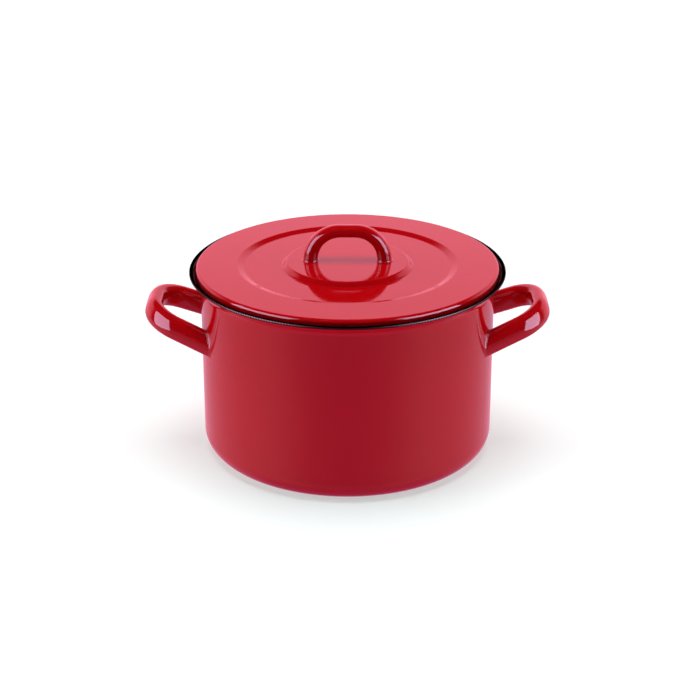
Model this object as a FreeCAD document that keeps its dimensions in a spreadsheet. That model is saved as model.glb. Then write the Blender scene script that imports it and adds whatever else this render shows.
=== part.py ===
import FreeCAD, Part

import math
import os

import Sketcher
from FreeCAD import Placement, Rotation, Vector

# A wide, two-handled cooking pot of enamelled sheet steel with a lift-off lid.
# Origin: centre of the base's underside.  +Z is up and the side handles lie along X.

doc = FreeCAD.newDocument("CookingPot")

# ---------------------------------------------------------------- driving dimensions

SIZES = [
    ("inner_radius", 121.2, "inside of the straight wall: a nominal 24 cm pot"),
    ("body_sheet", 1.2, "steel of the body with its enamel"),
    ("base_corner_radius", 16.9, "outside of the bend between base and wall"),
    ("flare_bend_radius", 6.0, "outside of the bend between wall and flare"),
    ("flare_angle", 45.0, "flare above the horizontal, degrees"),
    ("flare_reach", 8.4, "outside of the wall out to the flare's cut edge"),
    ("rim_height", 156.6, "base up to the underside of the flare's cut edge"),
    ("band_sheet", 0.35, "strip that is crimped over the flare's edge"),
    ("band_clearance", 0.1, "between that strip and the flare"),
    ("band_bend_radius", 0.65, "outside of the strip's two bends"),
    ("band_overlap", 1.6, "how far the strip's legs reach along the flare"),
    ("lid_inset", 4.9, "flare's cut edge in to the outside of the lid's skirt"),
    ("lid_sheet", 1.2, "steel of the lid with its enamel"),
    ("lid_seat_gap", 0.3, "between the skirt's edge and the flare it sits in"),
    ("lid_depth", 7.3, "skirt's edge up to the outer end of the annulus"),
    ("lid_shoulder_radius", 2.6, "outside of the bend between annulus and skirt"),
    ("annulus_slope", 1.0, "fall of the annulus towards the skirt, degrees"),
    ("channel_depth", 1.9, "annulus down to the channel"),
    ("channel_outer_radius", 85.2, "outer end of the channel's flat"),
    ("channel_step_angle", 18.0, "gentle step down into the channel, degrees"),
    ("channel_bend_radius", 4.5, "upper face of that step's two bends"),
    ("boss_rise", 4.0, "channel up to the boss"),
    ("boss_flat_radius", 49.6, "flat that carries the lid handle"),
    ("boss_step_angle", 50.0, "step up to the boss, degrees"),
    ("boss_bend_radius", 2.4, "upper face of that step's two bends"),
    ("grip_wall", 1.2, "wall of the hollow handles"),
    ("vent_radius", 1.5, "vents that let the hollow handles breathe in the kiln"),
    ("weld_leg", 2.0, "fillet welds round the handles' feet"),
    ("foot_overrun", 14.0, "how far a handle is drawn past its seat before trimming"),
    ("side_foot_drop", 51.0, "flare's edge down to a side handle's centre line at the wall"),
    ("side_spread", 81.6, "between a side handle's two feet"),
    ("side_reach", 50.0, "wall chord to the grip's centre line"),
    ("side_taper", 12.0, "lean of each arm towards the other, degrees"),
    ("side_tilt", 23.0, "rise of the handle's plane, degrees"),
    ("side_bend_radius", 27.5, "centre line between arm and grip"),
    ("side_thickness", 13.4, "section, in the handle's plane"),
    ("side_width", 19.6, "section, across the handle's plane"),
    ("side_vent_reach", 11.0, "wall chord to each vent"),
    ("arch_spread", 61.6, "between the lid handle's two feet"),
    ("arch_reach", 25.6, "boss to the arch's centre line"),
    ("arch_taper", 8.0, "lean of each leg towards the other, degrees"),
    ("arch_bend_radius", 24.0, "centre line between leg and arch"),
    ("arch_thickness", 10.2, "section, in the arch's plane"),
    ("arch_width", 14.0, "section, across the arch's plane"),
]

sizes = doc.addObject("Spreadsheet::Sheet", "Sizes")
for row, (alias, number, meaning) in enumerate(SIZES, start=1):
    sizes.set(f"A{row}", alias)
    sizes.set(f"B{row}", str(number))
    sizes.set(f"C{row}", meaning)
    sizes.setAlias(f"B{row}", alias)
doc.recompute()

# Places that several pieces share, as expressions of those cells.
WALL_RADIUS = "(Sizes.inner_radius + Sizes.body_sheet)"
FLARE_EDGE_RADIUS = f"({WALL_RADIUS} + Sizes.flare_reach)"
LID_RADIUS = f"({FLARE_EDGE_RADIUS} - Sizes.lid_inset)"
SIDE_CHORD = f"sqrt({WALL_RADIUS}^2 - (Sizes.side_spread / 2)^2)"
SIDE_FOOT_HEIGHT = "(Sizes.rim_height - Sizes.side_foot_drop)"
SKIRT_EDGE_HEIGHT = (
    "(Sizes.rim_height - Sizes.lid_inset * tan(Sizes.flare_angle)"
    " + (Sizes.body_sheet + Sizes.lid_seat_gap) / cos(Sizes.flare_angle))")
ANNULUS_RUN = (
    f"({LID_RADIUS} - Sizes.lid_shoulder_radius - Sizes.channel_outer_radius"
    " - 2 * Sizes.channel_bend_radius * sin(Sizes.channel_step_angle)"
    " - (Sizes.channel_depth"
    " - 2 * Sizes.channel_bend_radius * (1 - cos(Sizes.channel_step_angle)))"
    " / tan(Sizes.channel_step_angle))")
CHANNEL_HEIGHT = (
    f"({SKIRT_EDGE_HEIGHT} + Sizes.lid_depth"
    f" + {ANNULUS_RUN} * tan(Sizes.annulus_slope) - Sizes.channel_depth)")
BOSS_HEIGHT = f"({CHANNEL_HEIGHT} + Sizes.boss_rise)"


def value(expression):
    """Number that an expression of the sheet's cells stands for."""
    result = sizes.evalExpression(str(expression))
    return float(getattr(result, "Value", result))


# ---------------------------------------------------------------- sketches

def new_sketch(body, name, plane, base=("0", "0", "0"), axis=Vector(0, 0, 1), angle="0"):
    """Sketch on one of the body's origin planes, moved and turned by expressions."""
    sketch = body.newObject("Sketcher::SketchObject", name)
    support = [item for item in body.Origin.OriginFeatures if item.Role == plane][0]
    sketch.AttachmentSupport = [(support, "")]
    sketch.MapMode = "FlatFace"
    sketch.AttachmentOffset = Placement(Vector(*map(value, base)), Rotation(axis, value(angle)))
    for letter, expression in zip("xyz", base):
        if expression != "0":
            sketch.setExpression(f"AttachmentOffset.Base.{letter}", expression)
    if angle != "0":
        sketch.setExpression("AttachmentOffset.Rotation.Angle", angle)
    return sketch


def bind(sketch, kind, places, expression):
    """Dimension whose value follows an expression of the sheet's cells."""
    number = value(expression)
    if kind == "Angle":
        number = math.radians(number)
    index = sketch.addConstraint(Sketcher.Constraint(kind, *places, number))
    sketch.setExpression(f"Constraints[{index}]", expression)


def arc_between(start, end, centre):
    """Arc of less than half a turn, and which of its ends lies at start (1 or 2)."""
    first = math.atan2(start.y - centre.y, start.x - centre.x)
    last = math.atan2(end.y - centre.y, end.x - centre.x)
    circle = Part.Circle(centre, Vector(0, 0, 1), (start - centre).Length)
    if (last - first) % (2 * math.pi) < math.pi:
        return Part.ArcOfCircle(circle, first, last), 1
    return Part.ArcOfCircle(circle, last, first), 2


def add_chain(sketch, corners, radii, offset=0.0):
    """Lines through the corners with tangent arcs, moved sideways by offset (left is plus).

    Each radius is that of the chain with no offset.  Returns the lines and the arcs.
    """
    headings = [(b - a).normalize() for a, b in zip(corners, corners[1:])]
    sides = [Vector(-d.y, d.x, 0) * offset for d in headings]
    starts = [corners[0] + sides[0]]
    ends = []
    centres = []
    for corner, before, after, radius in zip(corners[1:], headings, headings[1:], radii):
        turn = math.atan2(before.x * after.y - before.y * after.x, before.dot(after))
        tangent = radius * math.tan(abs(turn) / 2)
        inward = Vector(-before.y, before.x, 0) * math.copysign(radius, turn)
        centres.append(corner - before * tangent + inward)
        ends.append(corner - before * tangent + sides[len(centres) - 1])
        starts.append(corner + after * tangent + sides[len(centres)])
    ends.append(corners[-1] + sides[-1])
    lines = [sketch.addGeometry(Part.LineSegment(a, b)) for a, b in zip(starts, ends)]
    arcs = []
    for place, centre in enumerate(centres):
        arc, first_end = arc_between(ends[place], starts[place + 1], centre)
        arcs.append(sketch.addGeometry(arc))
        arrival = (lines[place], 2, arcs[-1], first_end)
        departure = (arcs[-1], 3 - first_end, lines[place + 1], 1)
        for joint in (arrival, departure):
            sketch.addConstraint(Sketcher.Constraint("Tangent", *joint))
    return lines, arcs


def add_sheet_section(sketch, corners, radii, thickness):
    """Closed section of a bent sheet, given its first face; the other lies to the left."""
    points = [Vector(value(x), value(y), 0) for x, y in corners]
    bends = [value(radius) for radius in radii]
    lines, arcs = add_chain(sketch, points, bends)
    back_lines, back_arcs = add_chain(sketch, points, bends, value(thickness))
    for arc, back_arc, radius in zip(arcs, back_arcs, radii):
        sketch.addConstraint(Sketcher.Constraint("Coincident", arc, 3, back_arc, 3))
        bind(sketch, "Radius", [arc], radius)
    for line, back_line in zip(lines, back_lines):
        sketch.addConstraint(Sketcher.Constraint("Parallel", line, back_line))
    bind(sketch, "Distance", [back_lines[0], 1, lines[0]], thickness)
    for front, back, end in ((lines[0], back_lines[0], 1), (lines[-1], back_lines[-1], 2)):
        cap_ends = [sketch.getPoint(front, end), sketch.getPoint(back, end)]
        cap = sketch.addGeometry(Part.LineSegment(*cap_ends))
        sketch.addConstraint(Sketcher.Constraint("Coincident", front, end, cap, 1))
        sketch.addConstraint(Sketcher.Constraint("Coincident", back, end, cap, 2))
        sketch.addConstraint(Sketcher.Constraint("Perpendicular", front, cap))
    return lines


def revolve(body, sketch):
    """Full turn of the sketch about the body's own Z axis."""
    doc.recompute()
    axis = [item for item in body.Origin.OriginFeatures if item.Role == "Z_Axis"][0]
    turned = body.newObject("PartDesign::Revolution", "Turned")
    turned.Profile = sketch
    turned.ReferenceAxis = (axis, [""])
    turned.Angle = 360.0
    doc.recompute()


# ---------------------------------------------------------------- the pot's body

def make_pot_shell():
    """Flat base, straight wall and flare, drawn in one piece from sheet steel."""
    body = doc.addObject("PartDesign::Body", "PotShell")
    body.Label = "pot_shell"
    section = new_sketch(body, "PotSection", "XZ_Plane")
    foot_of_flare = "Sizes.rim_height - Sizes.flare_reach * tan(Sizes.flare_angle)"
    corners = [
        ("0", "0"),
        (WALL_RADIUS, "0"),
        (WALL_RADIUS, foot_of_flare),
        (FLARE_EDGE_RADIUS, "Sizes.rim_height"),
    ]
    radii = ["Sizes.base_corner_radius", "Sizes.flare_bend_radius"]
    base, wall, flare = add_sheet_section(section, corners, radii, "Sizes.body_sheet")
    section.addConstraint(Sketcher.Constraint("Coincident", base, 1, -1, 1))
    section.addConstraint(Sketcher.Constraint("Horizontal", base))
    section.addConstraint(Sketcher.Constraint("Vertical", wall))
    bind(section, "DistanceX", [-1, 1, wall, 1], WALL_RADIUS)
    bind(section, "Angle", [-1, 1, flare, 1], "Sizes.flare_angle")
    bind(section, "DistanceX", [-1, 1, flare, 2], FLARE_EDGE_RADIUS)
    bind(section, "DistanceY", [-1, 1, flare, 2], "Sizes.rim_height")
    revolve(body, section)
    return body


def make_rim_band():
    """Thin strip crimped over the flare's cut edge."""
    body = doc.addObject("PartDesign::Body", "RimBand")
    body.Label = "rim_band"
    # The sketch's own X axis runs out along the flare's underside, from its edge.
    edge = (FLARE_EDGE_RADIUS, "Sizes.rim_height", "0")
    section = new_sketch(body, "BandSection", "XZ_Plane", edge, angle="Sizes.flare_angle")
    under = "-(Sizes.band_clearance + Sizes.band_sheet)"
    over = "(Sizes.body_sheet + Sizes.band_clearance + Sizes.band_sheet)"
    nose = "(Sizes.band_clearance + Sizes.band_sheet)"
    corners = [
        ("-Sizes.band_overlap", under),
        (nose, under),
        (nose, over),
        ("-Sizes.band_overlap", over),
    ]
    radii = ["Sizes.band_bend_radius", "Sizes.band_bend_radius"]
    lower, front, upper = add_sheet_section(section, corners, radii, "Sizes.band_sheet")
    section.addConstraint(Sketcher.Constraint("Horizontal", lower))
    section.addConstraint(Sketcher.Constraint("Vertical", front))
    section.addConstraint(Sketcher.Constraint("Horizontal", upper))
    bind(section, "DistanceX", [lower, 1, -1, 1], "Sizes.band_overlap")
    bind(section, "DistanceX", [upper, 2, -1, 1], "Sizes.band_overlap")
    bind(section, "DistanceX", [-1, 1, front, 1], nose)
    bind(section, "DistanceY", [lower, 1, -1, 1], nose)
    bind(section, "DistanceY", [-1, 1, upper, 1], over)
    revolve(body, section)
    return body


# ---------------------------------------------------------------- the lid's shell

def make_lid_shell():
    """Pressed disc with a raised boss, a shallow channel and a turned-down skirt."""
    body = doc.addObject("PartDesign::Body", "LidShell")
    body.Label = "lid_shell"
    section = new_sketch(body, "LidSection", "XZ_Plane")
    annulus_height = f"({SKIRT_EDGE_HEIGHT} + Sizes.lid_depth)"
    channel_edge = ("Sizes.channel_outer_radius"
                    " + Sizes.channel_bend_radius * tan(Sizes.channel_step_angle / 2)")
    boss_edge = "Sizes.boss_flat_radius + Sizes.boss_bend_radius * tan(Sizes.boss_step_angle / 2)"
    corners = [
        (LID_RADIUS, SKIRT_EDGE_HEIGHT),
        (LID_RADIUS, annulus_height),
        (f"{channel_edge} + Sizes.channel_depth / tan(Sizes.channel_step_angle)",
         f"{CHANNEL_HEIGHT} + Sizes.channel_depth"),
        (channel_edge, CHANNEL_HEIGHT),
        (f"{boss_edge} + Sizes.boss_rise / tan(Sizes.boss_step_angle)", CHANNEL_HEIGHT),
        (boss_edge, BOSS_HEIGHT),
        ("0", BOSS_HEIGHT),
    ]
    radii = (["Sizes.lid_shoulder_radius"] + 2 * ["Sizes.channel_bend_radius"]
             + 2 * ["Sizes.boss_bend_radius"])
    legs = add_sheet_section(section, corners, radii, "Sizes.lid_sheet")
    skirt, annulus, outer_step, channel, inner_step, boss = legs
    section.addConstraint(Sketcher.Constraint("Vertical", skirt))
    section.addConstraint(Sketcher.Constraint("Horizontal", channel))
    section.addConstraint(Sketcher.Constraint("Horizontal", boss))
    section.addConstraint(Sketcher.Constraint("PointOnObject", boss, 2, -2))
    bind(section, "DistanceX", [-1, 1, skirt, 1], LID_RADIUS)
    bind(section, "DistanceY", [-1, 1, skirt, 1], SKIRT_EDGE_HEIGHT)
    bind(section, "DistanceY", [skirt, 1, annulus, 1], "Sizes.lid_depth")
    bind(section, "Angle", [annulus, 2, channel, 2], "Sizes.annulus_slope")
    bind(section, "Angle", [outer_step, 2, channel, 1], "180 - Sizes.channel_step_angle")
    bind(section, "Angle", [channel, 2, inner_step, 1], "180 - Sizes.boss_step_angle")
    bind(section, "DistanceY", [-1, 1, channel, 1], CHANNEL_HEIGHT)
    bind(section, "DistanceX", [-1, 1, channel, 1], "Sizes.channel_outer_radius")
    bind(section, "DistanceY", [channel, 1, boss, 1], "Sizes.boss_rise")
    bind(section, "DistanceX", [-1, 1, boss, 1], "Sizes.boss_flat_radius")
    revolve(body, section)
    return body


# ---------------------------------------------------------------- handles

def make_loop(name, grip, path_frame, section_frame, mirror_plane, inset="0"):
    """Solid loop of oval section: two straight legs, two bends and a grip.

    The path's X axis leads away from the seat; the section lies at the grip's middle,
    inset all round by the given amount; the far half is the mirror image of the near one.
    """
    body = doc.addObject("PartDesign::Body", name)
    path = new_sketch(body, name + "Path", *path_frame)
    run = f"(Sizes.{grip}_reach + Sizes.foot_overrun)"
    tip_spread = f"(Sizes.{grip}_spread / 2 - Sizes.{grip}_reach * tan(Sizes.{grip}_taper))"
    foot_spread = f"({tip_spread} + {run} * tan(Sizes.{grip}_taper))"
    corners = [
        (f"Sizes.{grip}_reach", "0"),
        (f"Sizes.{grip}_reach", tip_spread),
        ("-Sizes.foot_overrun", foot_spread),
    ]
    points = [Vector(value(x), value(y), 0) for x, y in corners]
    (bar, leg), (bend,) = add_chain(path, points, [value(f"Sizes.{grip}_bend_radius")])
    path.addConstraint(Sketcher.Constraint("Vertical", bar))
    path.addConstraint(Sketcher.Constraint("PointOnObject", bar, 1, -1))
    bind(path, "DistanceX", [-1, 1, bar, 1], f"Sizes.{grip}_reach")
    bind(path, "Radius", [bend], f"Sizes.{grip}_bend_radius")
    bind(path, "DistanceX", [leg, 2, -1, 1], "Sizes.foot_overrun")
    bind(path, "DistanceY", [-1, 1, leg, 2], foot_spread)
    bind(path, "Angle", [leg, 1, bar, 2], f"90 + Sizes.{grip}_taper")
    section = new_sketch(body, name + "Section", *section_frame)
    long_radius = f"(Sizes.{grip}_width / 2 - {inset})"
    short_radius = f"(Sizes.{grip}_thickness / 2 - {inset})"
    long_end = Vector(0, value(long_radius), 0)
    short_end = Vector(value(short_radius), 0, 0)
    oval = section.addGeometry(Part.Ellipse(long_end, short_end, Vector(0, 0, 0)))
    section.exposeInternalGeometry(oval)
    long_axis, short_axis = oval + 1, oval + 2
    section.addConstraint(Sketcher.Constraint("Coincident", oval, 3, -1, 1))
    section.addConstraint(Sketcher.Constraint("Vertical", long_axis))
    bind(section, "Distance", [long_axis], f"2 * {long_radius}")
    bind(section, "Distance", [short_axis], f"2 * {short_radius}")
    doc.recompute()
    half = body.newObject("PartDesign::AdditivePipe", name + "Half")
    half.Profile = section
    half.Spine = (path, ["Edge1", "Edge2", "Edge3"])
    doc.recompute()
    plane = [item for item in body.Origin.OriginFeatures if item.Role == mirror_plane][0]
    whole = body.newObject("PartDesign::Mirrored", name + "Whole")
    whole.Originals = [half]
    whole.MirrorPlane = (plane, [""])
    body.Tip = whole
    doc.recompute()
    return body


def combine(kind, name, base, tool):
    """Part boolean of two objects of the document."""
    result = doc.addObject(kind, name)
    result.Base = base
    result.Tool = tool
    doc.recompute()
    return result


def make_seat(name, radius, height):
    """Solid cylinder whose outside, or top, is the face that a handle is welded to."""
    seat = doc.addObject("Part::Cylinder", name)
    seat.setExpression("Radius", radius)
    seat.setExpression("Height", height)
    return seat


def make_vent(name, place, height):
    """Upright drill for a vent; it ends on the handle's centre line."""
    vent = doc.addObject("Part::Cylinder", name)
    vent.setExpression("Radius", "Sizes.vent_radius")
    vent.setExpression("Height", height)
    for letter, expression in zip("xyz", place):
        vent.setExpression(f"Placement.Base.{letter}", expression)
    return vent


def make_welds(name, label, loop, seat):
    """Fillet welds round the feet: what a filleted union has and the plain one lacks."""
    joined = combine("Part::Fuse", name + "Joined", seat, loop)
    leg = value("Sizes.weld_leg")
    edges = []
    for number, edge in enumerate(joined.Shape.Edges, start=1):
        middle = Part.Vertex(edge.valueAt((edge.FirstParameter + edge.LastParameter) / 2))
        on_both = all(
            min(middle.distToShape(face)[0] for face in piece.Shape.Faces) < 1e-4
            for piece in (loop, seat))
        if on_both:
            edges.append((number, leg, leg))
    rounded = doc.addObject("Part::Fillet", name + "Rounded")
    rounded.Base = joined
    rounded.Edges = edges
    doc.recompute()
    welds = combine("Part::Cut", name, rounded, joined)
    welds.Label = label
    return welds


def make_side_handle(side, turn):
    """Hollow pressed loop, welded to the wall by both feet, and its two welds."""
    foot = (SIDE_CHORD, "0", SIDE_FOOT_HEIGHT)
    grip_middle = (
        f"{SIDE_CHORD} + Sizes.side_reach * cos(Sizes.side_tilt)",
        f"{SIDE_FOOT_HEIGHT} + Sizes.side_reach * sin(Sizes.side_tilt)",
        "0")
    path_frame = ("XY_Plane", foot, Vector(0, 1, 0), "-Sizes.side_tilt")
    section_frame = ("XZ_Plane", grip_middle, Vector(0, 0, 1), "Sizes.side_tilt")
    name = side.capitalize() + "Loop"
    loop = make_loop(name, "side", path_frame, section_frame, "XZ_Plane")
    bore = make_loop(name + "Bore", "side", path_frame, section_frame, "XZ_Plane", "Sizes.grip_wall")
    seat = make_seat(name + "Seat", WALL_RADIUS, "Sizes.rim_height")
    half_turn = Placement(Vector(0, 0, 0), Rotation(Vector(0, 0, 1), turn))
    for piece in (loop, bore):
        piece.Placement = half_turn
    hollow = combine("Part::Cut", name + "Hollow", loop, bore)
    handle = combine("Part::Cut", name + "Trimmed", hollow, seat)
    reach = "Sizes.side_vent_reach"
    heading = "cos(Sizes.side_tilt)" if turn == 0 else "-cos(Sizes.side_tilt)"
    chord = SIDE_CHORD if turn == 0 else f"-{SIDE_CHORD}"
    across = f"(Sizes.side_spread / 2 - {reach} * tan(Sizes.side_taper))"
    drill = "Sizes.side_width"
    for number, sign in enumerate(("", "-"), start=1):
        place = (
            f"{chord} + {reach} * {heading}",
            f"{sign}{across}",
            f"{SIDE_FOOT_HEIGHT} + {reach} * sin(Sizes.side_tilt) - {drill}")
        vent = make_vent(f"{name}Vent{number}", place, drill)
        doc.recompute()
        handle = combine("Part::Cut", f"{name}Vented{number}", handle, vent)
    handle.Label = f"{side}_handle"
    welds = make_welds(f"{side.capitalize()}Welds", f"{side}_handle_welds", loop, seat)
    return [handle, welds]


def make_lid_handle():
    """Hollow arch across the lid's boss, and its two welds."""
    path_frame = ("XZ_Plane", ("0", BOSS_HEIGHT, "0"), Vector(0, 0, 1), "90")
    section_frame = (
        "YZ_Plane", ("0", f"{BOSS_HEIGHT} + Sizes.arch_reach", "0"), Vector(0, 0, 1), "90")
    loop = make_loop("Arch", "arch", path_frame, section_frame, "YZ_Plane")
    bore = make_loop("ArchBore", "arch", path_frame, section_frame, "YZ_Plane", "Sizes.grip_wall")
    seat = make_seat("ArchSeat", "Sizes.boss_flat_radius", BOSS_HEIGHT)
    hollow = combine("Part::Cut", "ArchHollow", loop, bore)
    trimmed = combine("Part::Cut", "ArchTrimmed", hollow, seat)
    drill = "Sizes.arch_thickness"
    vent = make_vent("ArchVent", ("0", "0", f"{BOSS_HEIGHT} + Sizes.arch_reach - {drill}"), drill)
    doc.recompute()
    handle = combine("Part::Cut", "ArchVented", trimmed, vent)
    handle.Label = "lid_handle"
    welds = make_welds("ArchWelds", "lid_handle_welds", loop, seat)
    return [handle, welds]


# ---------------------------------------------------------------- build, check and write

pieces = [make_pot_shell(), make_rim_band(), make_lid_shell()]
pieces += make_side_handle("right", 0)
pieces += make_side_handle("left", 180)
pieces += make_lid_handle()
doc.recompute()

for item in doc.Objects:
    if "Invalid" in item.State or "Error" in item.State:
        raise RuntimeError(f"{item.Name} failed: {item.State}")
    if item.TypeId == "Sketcher::SketchObject" and not item.FullyConstrained:
        raise RuntimeError(f"{item.Name} is not fully constrained")

os.makedirs("parts", exist_ok=True)
for piece in pieces:
    shape = piece.Shape
    if shape.isNull() or not shape.isValid():
        raise RuntimeError(f"{piece.Label} has no valid shape")
    shape.exportStep(f"parts/{piece.Label}.step")
    box = shape.optimalBoundingBox()
    print(f"{piece.Label}: {len(shape.Solids)} solid(s), {shape.Volume / 1000:.2f} cm3,"
          f" X {box.XMin:.2f}..{box.XMax:.2f} Y {box.YMin:.2f}..{box.YMax:.2f}"
          f" Z {box.ZMin:.2f}..{box.ZMax:.2f}")
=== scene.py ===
import math

import bmesh
import bpy
import numpy as np
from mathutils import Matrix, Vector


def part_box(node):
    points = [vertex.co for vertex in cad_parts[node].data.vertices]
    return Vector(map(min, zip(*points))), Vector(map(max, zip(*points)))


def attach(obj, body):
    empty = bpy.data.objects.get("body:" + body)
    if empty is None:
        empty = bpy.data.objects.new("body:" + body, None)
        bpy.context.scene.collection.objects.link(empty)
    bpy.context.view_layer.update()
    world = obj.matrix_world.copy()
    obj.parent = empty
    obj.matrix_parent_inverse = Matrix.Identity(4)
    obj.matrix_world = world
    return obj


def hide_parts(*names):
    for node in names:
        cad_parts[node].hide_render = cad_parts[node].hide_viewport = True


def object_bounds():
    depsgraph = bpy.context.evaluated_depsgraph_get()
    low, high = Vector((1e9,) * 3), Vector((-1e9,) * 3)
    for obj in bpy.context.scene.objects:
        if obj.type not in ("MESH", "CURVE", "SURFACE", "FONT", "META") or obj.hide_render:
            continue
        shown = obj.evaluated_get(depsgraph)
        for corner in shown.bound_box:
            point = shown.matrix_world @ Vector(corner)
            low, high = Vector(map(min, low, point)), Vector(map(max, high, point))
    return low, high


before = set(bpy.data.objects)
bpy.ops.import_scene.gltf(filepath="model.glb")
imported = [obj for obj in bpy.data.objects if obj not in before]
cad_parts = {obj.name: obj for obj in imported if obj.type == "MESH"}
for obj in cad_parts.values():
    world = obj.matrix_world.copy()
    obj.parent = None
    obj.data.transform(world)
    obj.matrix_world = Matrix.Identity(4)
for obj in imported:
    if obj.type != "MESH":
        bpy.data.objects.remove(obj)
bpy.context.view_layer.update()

# ================================================================ body of the pot
# One pressing of sheet steel: flat base, straight wall and a flare that the lid sits in.
# It is dipped in glass enamel and fired, red outside over a black ground coat that is
# left bare inside.

wall_radius = 0.1224
sheet = 0.0012
base_bend = 0.0169
flare_bend = 0.006
flare_angle = math.radians(45)
flare_edge = np.array(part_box("pot_shell")[1])[[0, 2]] - (0, sheet * math.cos(flare_angle))
around = 320


def rounded_line(corners, radii, longest=0.006, arc_step=5):
    """Points of a line through the corners, each inner corner rounded by a tangent arc.

    An arc of radius r starts r * tan(turn / 2) before its corner and is divided every
    few degrees; straight runs are divided evenly, with a point close to each end.
    """
    corners = np.asarray(corners, float)
    headings = np.diff(corners, axis=0)
    headings /= np.linalg.norm(headings, axis=1)[:, None]
    pieces = []
    start = corners[0]
    for corner, before, after, radius in zip(corners[1:-1], headings, headings[1:], radii):
        turn = math.atan2(before[0] * after[1] - before[1] * after[0], before @ after)
        end = corner - before * radius * math.tan(abs(turn) / 2)
        centre = end + math.copysign(radius, turn) * np.array([-before[1], before[0]])
        pieces.append(straight_run(start, end, longest))
        angles = np.linspace(0, turn, max(2, math.ceil(abs(turn) / math.radians(arc_step))) + 1)
        spoke = end - centre
        across = np.array([-spoke[1], spoke[0]])
        arc = centre + np.cos(angles)[:, None] * spoke + np.sin(angles)[:, None] * across
        pieces.append(arc[1:-1])
        start = arc[-1]
    pieces.append(straight_run(start, corners[-1], longest))
    return np.vstack(pieces)


def straight_run(start, end, longest):
    """Points from start to end, evenly spaced, plus one just inside each end."""
    length = np.linalg.norm(end - start)
    end_margin = 0.0003
    margin = min(end_margin, length / 4) / max(length, 1e-9)
    steps = max(1, math.ceil(length / longest))
    between = np.linspace(0, 1, steps + 1)[1:-1]
    places = np.concatenate([[0.0, margin], between, [1 - margin, 1.0]])
    return start + np.sort(places)[:, None] * (end - start)


def offset_line(corners, radii, thickness):
    """Corners and radii of the line that runs at the thickness to the left of another.

    Each corner moves along its bisector by thickness / cos(turn / 2); a bend to the left
    loses the thickness from its radius and a bend to the right gains it.
    """
    corners = np.asarray(corners, float)
    headings = np.diff(corners, axis=0)
    headings /= np.linalg.norm(headings, axis=1)[:, None]
    normals = np.column_stack([-headings[:, 1], headings[:, 0]])
    bisectors = normals[:-1] + normals[1:]
    bisectors *= 2 / np.sum(bisectors**2, axis=1)[:, None]
    moves = np.vstack([normals[:1], bisectors, normals[-1:]])
    turns = headings[:-1, 0] * headings[1:, 1] - headings[:-1, 1] * headings[1:, 0]
    return corners + thickness * moves, np.asarray(radii) - thickness * np.sign(turns)


def turned(profile, steps):
    """Grid of a profile (radius, height) carried round the Z axis in even steps."""
    angles = np.linspace(0, 2 * math.pi, steps, endpoint=False)
    radius, height = profile[:, :1], profile[:, 1:]
    flat = [radius * np.cos(angles), radius * np.sin(angles), height + 0 * angles]
    return np.stack(flat, axis=-1)


def make_piece(name, grid, materials, body, node, row_material=None, closed_rows=False):
    """Mesh of a grid of points [row, column, xyz] that closes on itself along its columns.

    Each four neighbours make a quad.  Rows that shrink to one point become a pole, and
    the faces are turned outwards.  The piece rides on a body and stands for a CAD node.
    The row materials say which of its materials each row of quads has.
    """
    merge_distance = 1e-6
    rows, columns = grid.shape[:2]
    index = np.arange(rows * columns).reshape(rows, columns)
    index = np.hstack([index, index[:, :1]])
    if closed_rows:
        index = np.vstack([index, index[:1]])
    quads = np.stack([index[:-1, :-1], index[:-1, 1:], index[1:, 1:], index[1:, :-1]], axis=-1)
    mesh = bpy.data.meshes.new(name)
    mesh.from_pydata(grid.reshape(-1, 3).tolist(), [], quads.reshape(-1, 4).tolist())
    mesh.polygons.foreach_set("use_smooth", np.ones(len(mesh.polygons), bool))
    for material in materials:
        mesh.materials.append(material)
    if row_material is not None:
        mesh.polygons.foreach_set("material_index", np.repeat(row_material, columns))
    shape = bmesh.new()
    shape.from_mesh(mesh)
    bmesh.ops.remove_doubles(shape, verts=shape.verts, dist=merge_distance)
    bmesh.ops.recalc_face_normals(shape, faces=shape.faces)
    shape.to_mesh(mesh)
    shape.free()
    piece = bpy.data.objects.new(name, mesh)
    bpy.context.scene.collection.objects.link(piece)
    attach(piece, body)
    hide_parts(node)
    return piece


def to_linear(hex_code):
    """Linear colour of an sRGB hex code, by the sRGB transfer curve."""
    code = np.array([int(hex_code[i:i + 2], 16) for i in (1, 3, 5)]) / 255
    linear = np.where(code <= 0.04045, code / 12.92, ((code + 0.055) / 1.055) ** 2.4)
    return (*linear.tolist(), 1.0)


def add_node(material, kind, inputs=None, **settings):
    """Adds a node with its settings, and fills its inputs with values or with outputs."""
    node = material.node_tree.nodes.new(kind)
    for name, setting in settings.items():
        setattr(node, name, setting)
    for socket, content in (inputs or {}).items():
        if isinstance(content, bpy.types.NodeSocket):
            material.node_tree.links.new(content, node.inputs[socket])
        else:
            node.inputs[socket].default_value = content
    return node


def new_material(name):
    """Empty node material, with its output node and a source of object coordinates."""
    material = bpy.data.materials.new(name)
    material.use_nodes = True
    material.node_tree.nodes.clear()
    output = add_node(material, "ShaderNodeOutputMaterial")
    place = add_node(material, "ShaderNodeTexCoord").outputs["Object"]
    return material, output, place


def ripple(material, place, size, depth, normal=None):
    """Bump of smooth noise whose waves are about size long and depth deep, in metres."""
    waves = add_node(material, "ShaderNodeTexNoise",
                     {"Vector": place, "Scale": 1 / size, "Detail": 1.0, "Roughness": 0.4})
    inputs = {"Height": waves.outputs["Fac"], "Distance": depth, "Strength": 1.0}
    if normal is not None:
        inputs["Normal"] = normal
    return add_node(material, "ShaderNodeBump", inputs).outputs["Normal"]


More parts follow.
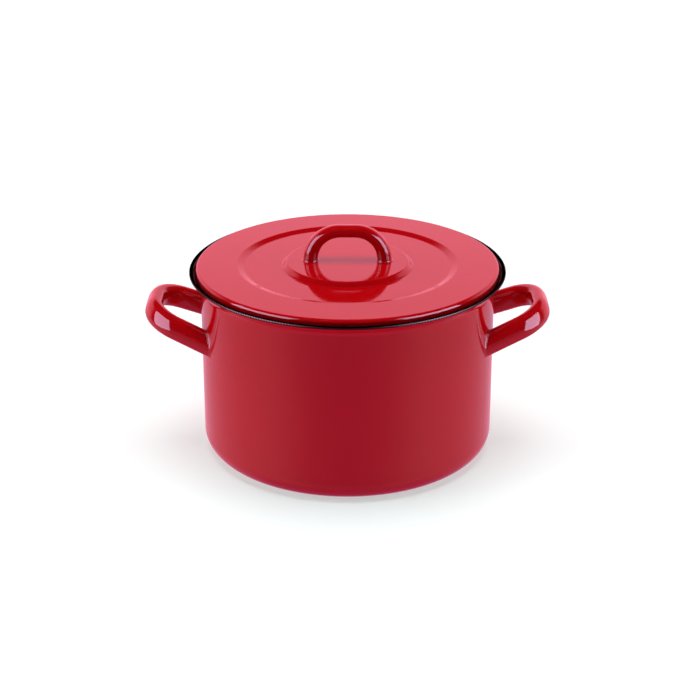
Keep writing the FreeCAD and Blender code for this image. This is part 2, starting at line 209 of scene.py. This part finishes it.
def make_red_enamel():
    """Vitreous enamel, fired glass on steel: deep red, wet gloss, slightly rippled.

    The eye sees sharp reflections that waver a little, and a colour that is a shade
    deeper where the glaze pooled before firing.
    """
    material, output, place = new_material("red_vitreous_enamel")
    pool_size = 0.045
    clouds = add_node(material, "ShaderNodeTexNoise",
                      {"Vector": place, "Scale": 1 / pool_size, "Detail": 2.0, "Roughness": 0.5})
    glaze = add_node(material, "ShaderNodeMix",
                     {"Factor": clouds.outputs["Fac"], "A": to_linear("#AC030A"), "B": to_linear("#B4040C")},
                     data_type="RGBA")
    flow_waves = ripple(material, place, size=0.030, depth=0.00003)
    orange_peel = ripple(material, place, size=0.0035, depth=0.0000025, normal=flow_waves)
    haze_size = 0.012
    shine = add_node(material, "ShaderNodeTexNoise",
                     {"Vector": place, "Scale": 1 / haze_size, "Detail": 3.0, "Roughness": 0.6})
    gloss = add_node(material, "ShaderNodeMapRange",
                     {"Value": shine.outputs["Fac"], "From Min": 0.3, "From Max": 0.7,
                      "To Min": 0.05, "To Max": 0.09})
    glass = add_node(material, "ShaderNodeBsdfPrincipled",
                     {"Base Color": glaze.outputs["Result"], "Roughness": gloss.outputs["Result"],
                      "Normal": orange_peel, "IOR": 1.52})
    material.node_tree.links.new(glass.outputs["BSDF"], output.inputs["Surface"])
    return material


def make_black_enamel():
    """Black ground-coat enamel with the fine grey speckle of unmilled frit.

    The eye sees a wet black with pale flecks just under a millimetre wide, set a few
    millimetres apart.
    """
    material, output, place = new_material("black_ground_coat_enamel")
    fleck_spacing = 0.0035
    flecks = add_node(material, "ShaderNodeTexVoronoi", {"Vector": place, "Scale": 1 / fleck_spacing})
    pale = add_node(material, "ShaderNodeMapRange",
                    {"Value": flecks.outputs["Distance"], "From Min": 0.10, "From Max": 0.16,
                     "To Min": 1.0, "To Max": 0.0})
    glaze = add_node(material, "ShaderNodeMix",
                     {"Factor": pale.outputs["Result"], "A": to_linear("#0A0A0B"), "B": to_linear("#4A4A4C")},
                     data_type="RGBA")
    orange_peel = ripple(material, place, size=0.003, depth=0.000003)
    glass = add_node(material, "ShaderNodeBsdfPrincipled",
                     {"Base Color": glaze.outputs["Result"], "Normal": orange_peel,
                      "Roughness": 0.12, "IOR": 1.52})
    material.node_tree.links.new(glass.outputs["BSDF"], output.inputs["Surface"])
    return material


red_enamel = make_red_enamel()
black_enamel = make_black_enamel()

rise = np.array([1.0, math.tan(flare_angle)])
flare_foot = flare_edge + rise * (wall_radius - flare_edge[0])
pot_corners = [(0, 0), (wall_radius, 0), flare_foot, flare_edge]
pot_bends = [base_bend, flare_bend]
outside = rounded_line(pot_corners, pot_bends)
inside = rounded_line(*offset_line(pot_corners, pot_bends, sheet))
pot_profile = np.vstack([outside, inside[::-1]])
pot_rows = np.arange(len(pot_profile) - 1)
make_piece(
    "pot_body", turned(pot_profile, around), [red_enamel, black_enamel], "pot", "pot_shell",
    row_material=(pot_rows >= len(outside) - 1).astype(int))

# ================================================================ rim band
# A thin blackened strip, crimped over the flare's cut edge so that no bare steel shows.
# The crimping wheel leaves fine, even ribs across its nose and its lower leg.

band_sheet = 0.00035
band_gap = 0.0001
band_bend = 0.00065
band_overlap = 0.0016
rib_count = 330
rib_height = 0.00035
rib_fade = sheet * 0.4
rib_limit = sheet * 1.3
rib_to_cut_edge = 0.0003
# Below this distance across the flare, the crests carry painted highlight dots.
bright_limit = sheet * 0.7
steps_per_rib = 8


def make_band_section():
    """Closed section of the strip, in the flare's own frame: x out along it, y across.

    It is a U, drawn as its outer face out and its inner face back.
    """
    reach = band_gap + band_sheet
    corners = [(-band_overlap, -reach), (reach, -reach),
               (reach, sheet + reach), (-band_overlap, sheet + reach)]
    bends = [band_bend, band_bend]
    outer = rounded_line(corners, bends, longest=0.0008, arc_step=18)
    inner = rounded_line(*offset_line(corners, bends, band_sheet), longest=0.002, arc_step=45)
    return outer, inner[::-1]


def ribbed_band():
    """Grid of the strip round the rim, its outer face scalloped into fine rounded ribs.

    Outward rise = rib height * |cos(angle round the rim * rib count / 2)|, faded out
    before the upper leg and towards the lower leg's cut edge.
    """
    outer, inner = make_band_section()
    angles = np.linspace(0, 2 * math.pi, rib_count * steps_per_rib, endpoint=False)
    wave = np.abs(np.cos(rib_count * angles / 2))
    below = np.clip((rib_limit - outer[:, 1]) / rib_fade, 0, 1)
    before_end = np.clip((outer[:, 0] + band_overlap) / rib_to_cut_edge, 0, 1)
    middle = np.array([-band_overlap / 2, sheet / 2])
    away = outer - middle
    away /= np.linalg.norm(away, axis=1)[:, None]
    lift = (rib_height * below * before_end)[:, None] * wave
    section = np.vstack([outer, inner])[:, None, :] + np.zeros((1, len(angles), 1))
    section[:len(outer)] += lift[:, :, None] * away[:, None, :]
    cosine, sine = math.cos(flare_angle), math.sin(flare_angle)
    radius = flare_edge[0] + section[..., 0] * cosine - section[..., 1] * sine
    height = flare_edge[1] + section[..., 0] * sine + section[..., 1] * cosine
    return np.stack([radius * np.cos(angles), radius * np.sin(angles), height], axis=-1)


def make_black_strip():
    """Steel strip with a black oxide finish, with painted highlights on the ribs' crests.

    The eye sees a black line whose ribs each show one bright dot, a painted highlight: a
    pale reflective colour painted on each crest, where the strip is ribbed.  The painted
    highlight is |cos(angle round the rim * rib count / 2)| to a high power, times the
    share of painted highlight, which is 1 under the flare.  The dark tint keeps the oxide
    black where it is seen edge on.
    """
    material, output, place = new_material("black_oxide_steel")

    def math_node(kind, *values):
        return add_node(material, "ShaderNodeMath", dict(enumerate(values)), operation=kind).outputs[0]

    axes = add_node(material, "ShaderNodeSeparateXYZ", {"Vector": place}).outputs
    angle = math_node("ARCTAN2", axes["Y"], axes["X"])
    wave = math_node("ABSOLUTE", math_node("COSINE", math_node("MULTIPLY", angle, rib_count / 2)))
    # Painted highlight: the crests' pale colour goes only where this share is 1, under the flare.
    painted_glint_share = add_node(material, "ShaderNodeAttribute", attribute_name="painted_glint_share").outputs["Fac"]
    glint_sharpness = 14.0
    painted_glint = math_node("MULTIPLY", math_node("POWER", wave, glint_sharpness), painted_glint_share)
    rub_size = 0.004
    wear = add_node(material, "ShaderNodeTexNoise",
                    {"Vector": place, "Scale": 1 / rub_size, "Detail": 3.0, "Roughness": 0.6})
    # A0948C is the painted highlight on the crests; #060606 is the black oxide itself.
    tone = add_node(material, "ShaderNodeMix",
                    {"Factor": painted_glint, "A": to_linear("#060606"), "B": to_linear("#A0948C")},
                    data_type="RGBA")
    rub = add_node(material, "ShaderNodeMapRange",
                   {"Value": wear.outputs["Fac"], "From Min": 0.3, "From Max": 0.7,
                    "To Min": 0.06, "To Max": 0.11})
    steel = add_node(material, "ShaderNodeBsdfPrincipled",
                     {"Base Color": tone.outputs["Result"], "Roughness": rub.outputs["Result"],
                      "Metallic": 1.0, "Specular Tint": (0.2, 0.2, 0.2, 1)})
    material.node_tree.links.new(steel.outputs["BSDF"], output.inputs["Surface"])
    return material


def mark_painted_glint_share(mesh):
    """Gives each point of the strip its share of the painted highlight dots: 1 under the flare, 0 above it.

    It falls with the point's distance across the flare, measured from the flare's lower
    face: cos(flare angle) * height - sin(flare angle) * radius, both from the flare's edge.
    """
    points = np.empty(3 * len(mesh.vertices))
    mesh.vertices.foreach_get("co", points)
    x, y, z = points.reshape(-1, 3).T
    outward, upward = np.hypot(x, y) - flare_edge[0], z - flare_edge[1]
    across_flare = upward * math.cos(flare_angle) - outward * math.sin(flare_angle)
    share = np.clip((bright_limit - across_flare) / rib_fade, 0, 1)
    mesh.attributes.new("painted_glint_share", "FLOAT", "POINT").data.foreach_set("value", share)


rim_band = make_piece(
    "crimped_rim_band", ribbed_band(), [make_black_strip()], "pot", "rim_band",
    closed_rows=True)
# Stores where the crests' painted highlight dots go.
mark_painted_glint_share(rim_band.data)

# ================================================================ side handles
# Each is an oval steel tube bent into a loop, welded to the wall by both feet and
# enamelled with the pot.  The loops rise a little, so a cloth-wrapped hand can lift.

side_spread = 0.0816
side_reach = 0.0500
side_taper = math.radians(12.0)
side_tilt = math.radians(23.0)
side_bend = 0.0275
side_thickness = 0.0134
side_width = 0.0196
side_foot_drop = 0.0510
side_chord = math.sqrt(wall_radius**2 - (side_spread / 2)**2)
side_foot_height = flare_edge[1] - side_foot_drop
oval_squareness = 2.2
oval_steps = 72
weld_leg = 0.002
weld_points = 9


def oval(thickness, width):
    """Closed oval (x across the path in its plane, y along its normal), a superellipse.

    x = a * sign(cos) * |cos|^(2/p) and y = b * sign(sin) * |sin|^(2/p), where p is a
    little over two: slightly fuller than an ellipse.
    """
    angles = np.linspace(0, 2 * math.pi, oval_steps, endpoint=False)
    power = 2 / oval_squareness
    x = np.sign(np.cos(angles)) * np.abs(np.cos(angles)) ** power
    y = np.sign(np.sin(angles)) * np.abs(np.sin(angles)) ** power
    return np.column_stack([x * thickness / 2, y * width / 2])


def loop_path(spread, reach, taper, bend):
    """Centre line of a loop in its own plane, x away from the seat, foot to foot."""
    tip = spread / 2 - reach * math.tan(taper)
    corners = [(0, -spread / 2), (reach, -tip), (reach, tip), (0, spread / 2)]
    return rounded_line(corners, [bend, bend], longest=0.002)


def carry(path, section, growth, origin, along, across, normal):
    """Grid of a section carried along a plane path, and the path's heading at each point.

    Point = origin + path point + growth * section x * the path's side + section y * the
    normal.
    """
    heading = np.gradient(path, axis=0)
    heading /= np.linalg.norm(heading, axis=1)[:, None]
    side = np.column_stack([heading[:, 1], -heading[:, 0]])
    plane = np.stack([along, across])
    centre = origin + path @ plane
    grid = (centre[:, None] + growth[:, None, None] * section[None, :, :1] * (side @ plane)[:, None]
            + section[None, :, 1:] * normal)
    return grid, heading @ plane


def to_wall(points, heading):
    """Distance along heading from each point to the outside of the pot's wall."""
    a = heading[0]**2 + heading[1]**2
    b = points[:, 0] * heading[0] + points[:, 1] * heading[1]
    c = points[:, 0]**2 + points[:, 1]**2 - wall_radius**2
    root = np.sqrt(b**2 - a * c)
    near, far = (-b - root) / a, (-b + root) / a
    return np.where(np.abs(near) < np.abs(far), near, far)


def seat_feet(grid, headings, to_seat, bend_start):
    """Loop whose straight legs end on their seat, with a pole closing each foot.

    Every point of a leg slides along the leg so that the first ring lies on the seat
    and the ring where the bend starts stays where it was.
    """
    seated = grid.copy()
    count = len(grid)
    share = np.linspace(1, 0, bend_start + 1)[:, None, None]
    for first, last in ((0, bend_start), (count - 1, count - 1 - bend_start)):
        heading = headings[first]
        foot = grid[first] + to_seat(grid[first], heading)[:, None] * heading
        step = 1 if last > first else -1
        rows = np.arange(first, last + step, step)
        seated[rows] = share * foot + (1 - share) * grid[last]
    poles = [np.repeat(ring.mean(axis=0)[None, None], grid.shape[1], axis=1)
             for ring in (seated[0], seated[-1])]
    return np.concatenate([poles[0], seated, poles[1]])


def fillet_ring(ring, wide_ring, heading, to_seat):
    """Closed ring of a concave fillet between a foot and its seat.

    Its outer face is a curve from the seat to the foot, (1-t)^2 wide + 2t(1-t) corner
    + t^2 raised, where corner is where the foot meets the seat, wide is the same for a
    foot larger by half the leg all round, and raised lies one leg up the foot.
    """
    corner = ring + to_seat(ring, heading)[:, None] * heading
    wide = wide_ring + to_seat(wide_ring, heading)[:, None] * heading
    raised = corner + weld_leg * heading
    t = np.linspace(0, 1, weld_points)[:, None, None]
    face = (1 - t)**2 * wide + 2 * t * (1 - t) * corner + t**2 * raised
    return np.concatenate([face, corner[None]])


def straight_length(path):
    """Number of the path's points on its first straight leg, beyond the first.

    A point is off the leg when |x * heading y - y * heading x| is more than nothing.
    """
    nothing = 1e-7
    from_foot = path - path[0]
    heading = from_foot[1] / np.linalg.norm(from_foot[1])
    off = np.abs(from_foot[:, 0] * heading[1] - from_foot[:, 1] * heading[0])
    return int(np.argmax(off > nothing)) - 1


def side_frame(sign):
    """Origin and axes of a side handle's plane: out and up, along the wall, and normal."""
    origin = np.array([sign * side_chord, 0, side_foot_height])
    along = np.array([sign * math.cos(side_tilt), 0, math.sin(side_tilt)])
    across = np.array([0, float(sign), 0])
    normal = np.cross(along, across)
    return origin, along, across, normal


def make_loop(name, node, body, path, thickness, width, plane, to_seat, foot_spread=1.0):
    """A loop handle and the fillet welds round its two feet, as three pieces.

    Its thickness is multiplied by 1 in the middle of the path, rising smoothly to the
    foot spread at each end: 1 + (spread - 1) * u^2 * (3 - 2u), u from 0 to 1.
    """
    section = oval(thickness, width)
    wide_section = oval(thickness + weld_leg, width + weld_leg)
    bend_start = straight_length(path)
    from_middle = np.abs(np.linspace(-1, 1, len(path)))
    growth = 1 + (foot_spread - 1) * from_middle**2 * (3 - 2 * from_middle)
    grid, headings = carry(path, section, growth, *plane)
    wide_grid, _ = carry(path, wide_section, growth, *plane)
    loop = seat_feet(grid, headings, to_seat, bend_start)
    make_piece(name, loop, [red_enamel], body, node)
    for number, (row, heading) in enumerate(((0, headings[0]), (-1, -headings[-1])), start=1):
        ring = fillet_ring(grid[row], wide_grid[row], heading, to_seat)
        make_piece(f"{name}_weld_{number}", ring, [red_enamel], body, node + "_welds",
                   closed_rows=True)


side_path = loop_path(side_spread, side_reach, side_taper, side_bend)
for side, sign in (("right", 1), ("left", -1)):
    make_loop(f"{side}_loop_handle", f"{side}_handle", "pot", side_path,
              side_thickness, side_width, side_frame(sign), to_wall)

# ================================================================ lid
# One pressing: a raised boss for the handle, a shallow channel that stiffens the disc,
# a nearly flat annulus and a skirt that drops into the flare.  Red above, black below.

lid_low, lid_high = map(np.array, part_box("lid_shell"))
lid_sheet = 0.0012
lid_shoulder = 0.0026
lid_depth = 0.0073
channel_outer = 0.0852
channel_drop = 0.0019
channel_angle = math.radians(18.0)
channel_bend = 0.0045
boss_rise = 0.004
boss_flat = 0.0496
boss_angle = math.radians(50.0)
boss_bend = 0.0024

boss_height = lid_high[2]
channel_height = boss_height - boss_rise
annulus_height = lid_low[2] + lid_depth
channel_edge = channel_outer + channel_bend * math.tan(channel_angle / 2)
boss_edge = boss_flat + boss_bend * math.tan(boss_angle / 2)
lid_corners = [
    (lid_high[0], lid_low[2]),
    (lid_high[0], annulus_height),
    (channel_edge + channel_drop / math.tan(channel_angle), channel_height + channel_drop),
    (channel_edge, channel_height),
    (boss_edge + boss_rise / math.tan(boss_angle), channel_height),
    (boss_edge, boss_height),
    (0, boss_height),
]
lid_bends = [lid_shoulder] + 2 * [channel_bend] + 2 * [boss_bend]
lid_top = rounded_line(lid_corners, lid_bends)
lid_under = rounded_line(*offset_line(lid_corners, lid_bends, lid_sheet))
lid_profile = np.vstack([lid_top[::-1], lid_under])
lid_rows = np.arange(len(lid_profile) - 1)
make_piece(
    "lid_disc", turned(lid_profile, around), [red_enamel, black_enamel], "lid", "lid_shell",
    row_material=(lid_rows >= len(lid_top)).astype(int))

# ================================================================ lid handle
# An oval steel tube bent into an arch, welded across the boss and enamelled with the lid.
# Bending squeezes it a little in the middle, so its legs stay thicker down to the feet.

arch_foot_spread = 1.2
arch_spread = 0.0616
arch_reach = 0.0256
arch_taper = math.radians(8.0)
arch_bend = 0.024
arch_thickness = 0.0102
arch_width = 0.0140


def to_boss(points, heading):
    """Distance along heading from each point to the flat top of the boss."""
    return (boss_height - points[:, 2]) / heading[2]


arch_path = loop_path(arch_spread, arch_reach, arch_taper, arch_bend)
right, back, up = np.eye(3)
arch_plane = (boss_height * up, up, right, back)
make_loop("lid_arch_handle", "lid_handle", "lid", arch_path,
          arch_thickness, arch_width, arch_plane, to_boss, arch_foot_spread)

# ================================================================ floor, light and camera
# A table of opal acrylic lit softly from below, a bright screen behind, and two large
# soft boxes, low on either side and a little in front.  Wide glows from the sides and
# the ceiling fill in the shade, and don't show in reflections.

floor_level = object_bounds()[0][2]
floor_gap = 0.0002


def make_opal_table():
    """Opal acrylic lit softly from below: an even near-white with a faint contact shadow."""
    material, output, place = new_material("opal_acrylic")
    cloud_size = 0.4
    tone = add_node(material, "ShaderNodeTexNoise",
                    {"Vector": place, "Scale": 1 / cloud_size, "Detail": 2.0, "Roughness": 0.5})
    paint = add_node(material, "ShaderNodeMix",
                     {"Factor": tone.outputs["Fac"], "A": to_linear("#C2C8C6"), "B": to_linear("#C6CCCA")},
                     data_type="RGBA")
    acrylic = add_node(material, "ShaderNodeBsdfPrincipled",
                       {"Base Color": paint.outputs["Result"], "Roughness": 0.8,
                        "Emission Color": (0.84, 1.0, 0.98, 1), "Emission Strength": 0.48})
    material.node_tree.links.new(acrylic.outputs["BSDF"], output.inputs["Surface"])
    return material


table_size = 12.0
table_corners = [(x * table_size / 2, y * table_size / 2, floor_level - floor_gap)
                 for x, y in ((-1, -1), (1, -1), (1, 1), (-1, 1))]
table_mesh = bpy.data.meshes.new("table")
table_mesh.from_pydata(table_corners, [], [(0, 1, 2, 3)])
table_mesh.materials.append(make_opal_table())
table = bpy.data.objects.new("table", table_mesh)
bpy.context.scene.collection.objects.link(table)
table.visible_glossy = False


def make_studio():
    """World light: a bright pink screen behind, a mauve floor below, and a dark room.

    The screen fades out at its sides and above, by how far back and how high the
    direction points.  The floor stands in for the table in reflections: it is dim in
    front, brighter towards the sides, and dim again straight down.  The camera sees
    plain white instead.
    """
    room_dark = (0.015, 0.012, 0.02, 1)
    screen_bright = (1.75, 0.66, 0.88, 1)
    floor_dim = (0.40, 0.13, 0.34, 1)
    floor_bright = (0.95, 0.45, 0.62, 1)
    world = bpy.data.worlds.new("studio")
    world.use_nodes = True
    world.node_tree.nodes.clear()
    output = add_node(world, "ShaderNodeOutputWorld")
    direction = add_node(world, "ShaderNodeTexCoord").outputs["Generated"]
    parts = add_node(world, "ShaderNodeSeparateXYZ", {"Vector": direction}).outputs

    def eased(socket, first, last):
        """Share that rises smoothly from 0 at the first value to 1 at the last."""
        return add_node(world, "ShaderNodeMapRange",
                        {"Value": socket, "From Min": first, "From Max": last},
                        interpolation_type="SMOOTHSTEP").outputs["Result"]

    def product(first, second):
        return add_node(world, "ShaderNodeMath", {0: first, 1: second}, operation="MULTIPLY").outputs[0]

    def blended(share, first, second):
        return add_node(world, "ShaderNodeMix", {"Factor": share, "A": first, "B": second},
                        data_type="RGBA").outputs["Result"]

    screen = product(eased(parts["Y"], 0.15, 0.45), eased(parts["Z"], 0.62, 0.46))
    above = blended(screen, room_dark, screen_bright)
    side = product(eased(parts["Y"], -1.0, -0.35), eased(parts["Z"], -1.0, -0.45))
    below = blended(side, floor_dim, floor_bright)
    surround = blended(eased(parts["Z"], -0.12, -0.28), above, below)
    seen = add_node(world, "ShaderNodeBackground", {"Color": (1, 1, 1, 1), "Strength": 1.0})
    lit = add_node(world, "ShaderNodeBackground", {"Color": surround, "Strength": 1.0})
    ray = add_node(world, "ShaderNodeLightPath").outputs["Is Camera Ray"]
    mix = add_node(world, "ShaderNodeMixShader", {0: ray, 1: lit.outputs[0], 2: seen.outputs[0]})
    world.node_tree.links.new(mix.outputs[0], output.inputs["Surface"])
    return world


def add_lamp(name, kind, bearing, elevation, distance, **settings):
    """Lamp that faces the pot, at a bearing (0 behind it, 90 at its right) and elevation."""
    bearing, elevation = math.radians(bearing), math.radians(elevation)
    data = bpy.data.lights.new(name, kind)
    for setting, value in settings.items():
        setattr(data, setting, value)
    lamp = bpy.data.objects.new(name, data)
    bpy.context.scene.collection.objects.link(lamp)
    lamp.location = (distance * math.sin(bearing) * math.cos(elevation),
                     distance * math.cos(bearing) * math.cos(elevation),
                     lamp_aim_height + distance * math.sin(elevation))
    lamp.rotation_euler = (math.pi / 2 - elevation, 0, math.pi - bearing)
    lamp.visible_camera = False
    return lamp


bpy.context.scene.world = make_studio()
bpy.context.scene.view_settings.view_transform = "Standard"
lamp_aim_height = 0.1
soft_box_distance = 1.6
glow_distance = 2.0
lilac_white = (0.86, 0.70, 1.0)
for name, bearing, elevation, width, height, power in (
        ("left_soft_box", -115, 12, 1.5, 1.7, 54), ("right_soft_box", 117, 10, 1.4, 1.6, 54)):
    soft_box = add_lamp(name, "AREA", bearing, elevation, soft_box_distance, shape="RECTANGLE",
                        size=width, size_y=height, energy=power, color=lilac_white)
    soft_box.visible_diffuse = False
for name, bearing, elevation, strength, spread in (
        ("left_side_glow", -96, 10, 1.9, 50), ("right_side_glow", 96, 10, 1.5, 50),
        ("ceiling_glow", 0, 88, 2.35, 40)):
    glow = add_lamp(name, "SUN", bearing, elevation, glow_distance,
                    energy=strength, angle=math.radians(spread))
    glow.visible_glossy = False

aim_height = 0.0846
camera_distance = 1.544
camera_elevation = math.radians(23.26)
lens_mm = 94.3
sensor_mm = 36.0
camera_data = bpy.data.cameras.new("camera")
camera_data.lens = lens_mm
camera_data.sensor_width = sensor_mm
camera = bpy.data.objects.new("camera", camera_data)
bpy.context.scene.collection.objects.link(camera)
camera.location = (0, -camera_distance * math.cos(camera_elevation),
                   aim_height + camera_distance * math.sin(camera_elevation))
camera.rotation_euler = (math.pi / 2 - camera_elevation, 0, 0)
bpy.context.scene.camera = camera
